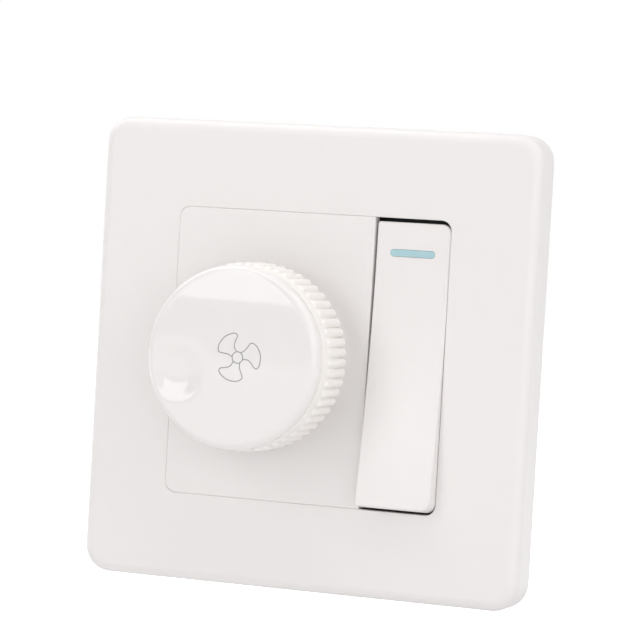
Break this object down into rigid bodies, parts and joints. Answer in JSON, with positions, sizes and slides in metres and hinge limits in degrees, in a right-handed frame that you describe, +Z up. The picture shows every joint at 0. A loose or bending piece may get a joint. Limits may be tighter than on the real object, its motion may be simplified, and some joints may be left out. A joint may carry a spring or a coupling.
{
  "type": "fan speed control switch",
  "caption": "Square white wall plate with a ribbed rotary speed knob and a tall concave rocker switch beside it, and a boxed housing behind for the wiring.",
  "frame": {"origin": "centre of the plate on the wall plane, midway between the wall-screw slots", "axes": "+X to the right seen from the front, +Y into the wall, +Z up"},
  "size_m": [0.086, 0.0518, 0.086],
  "materials": {
    "white_plastic": "smooth white, lightly glossy",
    "indicator": "light blue, smooth",
    "dark_plastic": "dark grey, matte",
    "black_plastic": "black, moulded",
    "board": "laminate board",
    "component": "coated component",
    "steel": "plated steel",
    "brass": "plain brass",
    "contact": "silver contact metal",
    "aluminium": "plain aluminium",
    "ferrite": "ferrite",
    "copper": "enamelled copper wire"
  },
  "bodies": {
    "base": {"front_cover": "white_plastic", "mounting_frame": "dark_plastic", "insert_panel": "white_plastic", "rear_housing": "dark_plastic", "rear_lid": "dark_plastic", "housing_screws": "steel", "circuit_board": "board", "board_screws": "steel", "potentiometer_can": "black_plastic", "potentiometer_lugs": "steel", "potentiometer_bushing": "brass", "bushing_washer": "steel", "bushing_nut": "steel", "rocker_pin": "steel", "fixed_contact": "brass", "fixed_rivet": "contact", "common_contact": "brass", "supply_terminal": "brass", "fan_terminal": "brass", "terminal_screws": "steel", "choke_core": "ferrite", "choke_winding": "copper", "film_capacitors": "component", "triac_body": "black_plastic", "triac_tab": "steel", "triac_leads": "steel", "heat_sink": "aluminium", "heat_sink_screw": "steel", "resistors": "component", "diac": "component"},
    "knob": {"knob_body": "white_plastic", "knob_cap": "white_plastic", "potentiometer_shaft": "aluminium"},
    "rocker": {"rocker_button": "white_plastic", "rocker_indicator": "indicator", "rocker_cradle": "dark_plastic", "plunger_spring": "steel"},
    "plunger": {"plunger": "dark_plastic"},
    "contact": {"contact_lever": "brass", "moving_rivet": "contact"}
  },
  "joints": [
    {"name": "knob_turn", "type": "hinge", "parent": "base", "child": "knob", "pos_m": [-0.00735, 0, 0], "axis": [0, 1, 0], "range_deg": [-28, 242]},
    {"name": "rocker_tilt", "type": "hinge", "parent": "base", "child": "rocker", "pos_m": [0.0195, -0.0044, -0.00025], "axis": [1, 0, 0], "range_deg": [0, 9.2]},
    {"name": "plunger_slide", "type": "slide", "parent": "rocker", "child": "plunger", "axis": [0, 0.9968, -0.0802], "range_m": [-0.0008, 0], "stiffness_N_per_m": 1000, "springref_m": 0.001, "deforming": ["plunger_spring"]},
    {"name": "contact_tilt", "type": "hinge", "parent": "base", "child": "contact", "pos_m": [0.0195, 0.00687, -0.00025], "axis": [1, 0, 0], "range_deg": [-12, 0]}
  ],
  "couplings": [
    {"joint": "contact_tilt", "follows": "rocker_tilt", "ratio": -1.3043}
  ]
}
